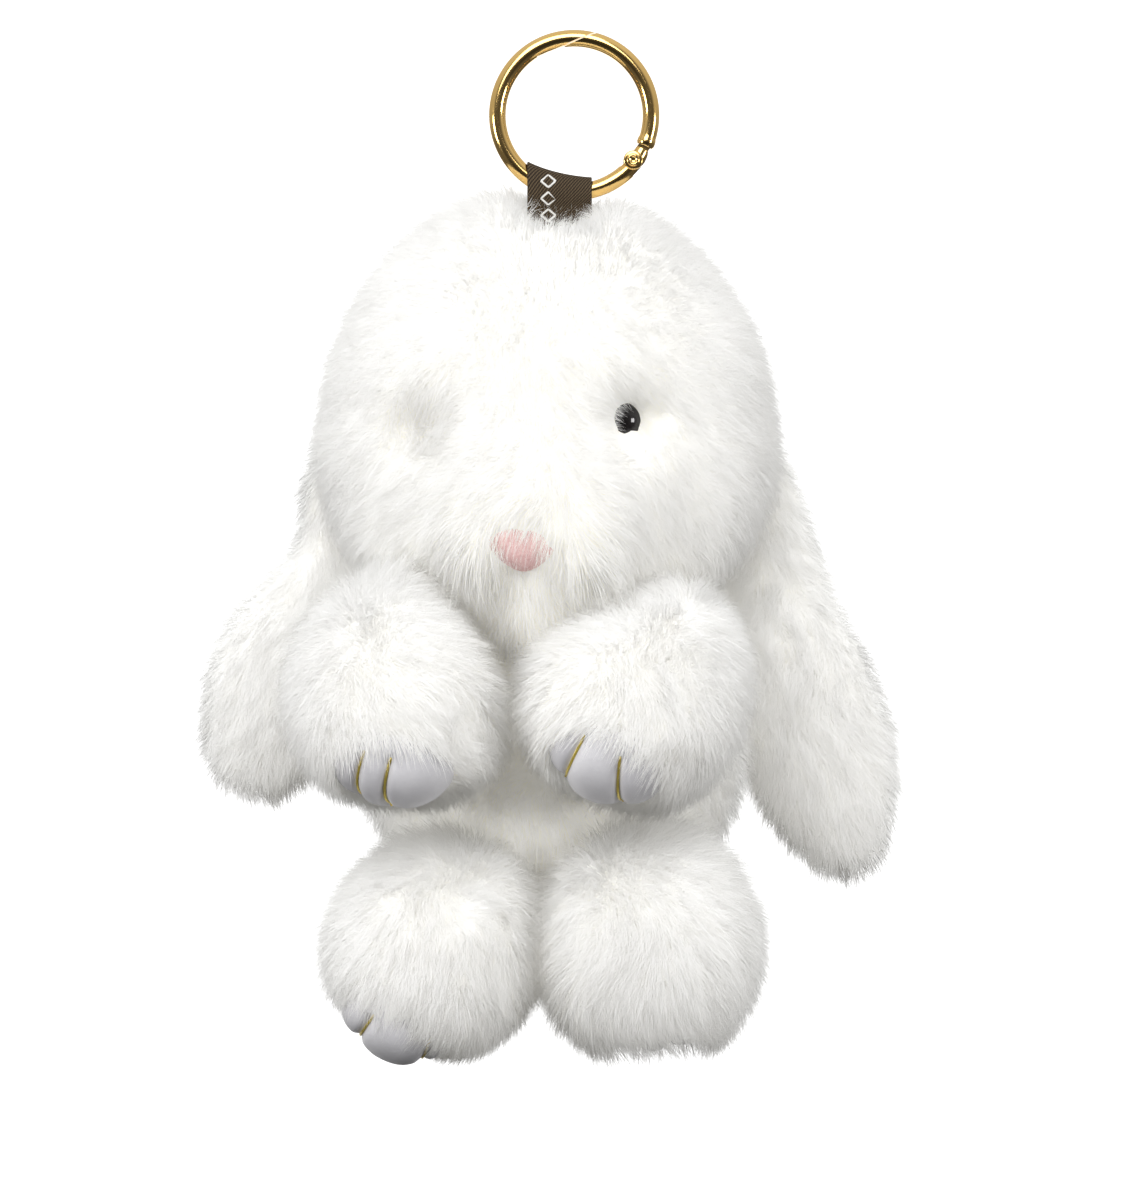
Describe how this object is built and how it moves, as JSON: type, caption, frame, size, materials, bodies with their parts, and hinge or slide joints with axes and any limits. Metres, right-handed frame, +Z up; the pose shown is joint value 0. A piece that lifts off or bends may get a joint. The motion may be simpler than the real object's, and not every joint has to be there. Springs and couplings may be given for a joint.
{
  "type": "plush keychain",
  "caption": "White fur rabbit charm hung by a ribbon loop from a polished ring with a spring gate; the gate, ribbon, head, body, arms, legs and ears move.",
  "frame": {"origin": "inner top of the ring, where it hangs from a finger or hook", "axes": "+Z up along the hanging rabbit's height, +X to the viewer's right, the rabbit faces -Y"},
  "size_m": [0.1346, 0.1005, 0.207],
  "materials": {
    "polished_gold": "polished",
    "spring_steel": "satin",
    "brown_ribbon": "matte",
    "white_fur": "matte",
    "polyester_stuffing": "matte",
    "grey_leather": "satin",
    "gold_thread": "satin",
    "black_eye": "gloss",
    "pink_nose": "matte",
    "washer_plastic": "matte"
  },
  "bodies": {
    "ring": {"ring_body": "polished_gold", "hinge_pin": "polished_gold"},
    "gate": {"ring_gate": "polished_gold", "gate_spring": "spring_steel"},
    "strap": {"strap_loop": "brown_ribbon"},
    "head": {"strap_root": "brown_ribbon", "strap_stitch": "brown_ribbon", "head_pelt": "white_fur", "head_stuffing": "polyester_stuffing", "nose": "pink_nose", "eye_left": "black_eye", "eye_right": "black_eye", "eye_washer_left": "washer_plastic", "eye_washer_right": "washer_plastic"},
    "torso": {"body_pelt": "white_fur", "body_stuffing": "polyester_stuffing", "tail": "white_fur"},
    "ear_left": {"ear_left_front": "white_fur", "ear_left_back": "white_fur"},
    "ear_right": {"ear_right_front": "white_fur", "ear_right_back": "white_fur"},
    "arm_left": {"arm_left_pelt": "white_fur", "arm_left_stuffing": "polyester_stuffing", "paw_left_pad": "grey_leather", "paw_left_stitch_1": "gold_thread", "paw_left_stitch_2": "gold_thread"},
    "arm_right": {"arm_right_pelt": "white_fur", "arm_right_stuffing": "polyester_stuffing", "paw_right_pad": "grey_leather", "paw_right_stitch_1": "gold_thread", "paw_right_stitch_2": "gold_thread"},
    "leg_left": {"leg_left_pelt": "white_fur", "leg_left_stuffing": "polyester_stuffing", "foot_left_pad": "grey_leather", "foot_left_stitch_1": "gold_thread", "foot_left_stitch_2": "gold_thread"},
    "leg_right": {"leg_right_pelt": "white_fur", "leg_right_stuffing": "polyester_stuffing", "foot_right_pad": "grey_leather", "foot_right_stitch_1": "gold_thread", "foot_right_stitch_2": "gold_thread"}
  },
  "joints": [
    {"name": "gate_open", "type": "hinge", "parent": "ring", "child": "gate", "pos_m": [0.01206, 0, -0.02342], "axis": [0, -1, 0], "range_deg": [0, 22], "stiffness_Nm_per_rad": 0.02, "springref_deg": -20.05},
    {"name": "strap_slide", "type": "hinge", "parent": "ring", "child": "strap", "pos_m": [0, 0, -0.014], "axis": [0, -1, 0], "range_deg": [-80, 20]},
    {"name": "plush_swing", "type": "hinge", "parent": "strap", "child": "head", "pos_m": [-0.003, 0, -0.0344], "axis": [1, 0, 0], "range_deg": [-35, 35]},
    {"name": "neck_nod", "type": "hinge", "parent": "head", "child": "torso", "pos_m": [-0.005, 0.004, -0.1149], "axis": [1, 0, 0], "range_deg": [-8, 6]},
    {"name": "ear_left_lift", "type": "hinge", "parent": "head", "child": "ear_left", "pos_m": [-0.047, 0.015, -0.078], "axis": [0, 1, 0], "range_deg": [0, 70]},
    {"name": "ear_right_lift", "type": "hinge", "parent": "head", "child": "ear_right", "pos_m": [0.0375, 0.015, -0.08], "axis": [0, -1, 0], "range_deg": [0, 70]},
    {"name": "arm_left_raise", "type": "hinge", "parent": "torso", "child": "arm_left", "pos_m": [-0.03, -0.012, -0.119], "axis": [-0.7071, 0.7071, 0], "range_deg": [0, 20]},
    {"name": "arm_right_raise", "type": "hinge", "parent": "torso", "child": "arm_right", "pos_m": [0.016, -0.013, -0.119], "axis": [-0.7071, -0.7071, 0], "range_deg": [0, 20]},
    {"name": "leg_left_swing", "type": "hinge", "parent": "torso", "child": "leg_left", "pos_m": [-0.026, -0.006, -0.165], "axis": [-1, 0, 0], "range_deg": [-6, 25]},
    {"name": "leg_right_swing", "type": "hinge", "parent": "torso", "child": "leg_right", "pos_m": [0.0145, -0.006, -0.165], "axis": [-1, 0, 0], "range_deg": [-6, 25]}
  ]
}
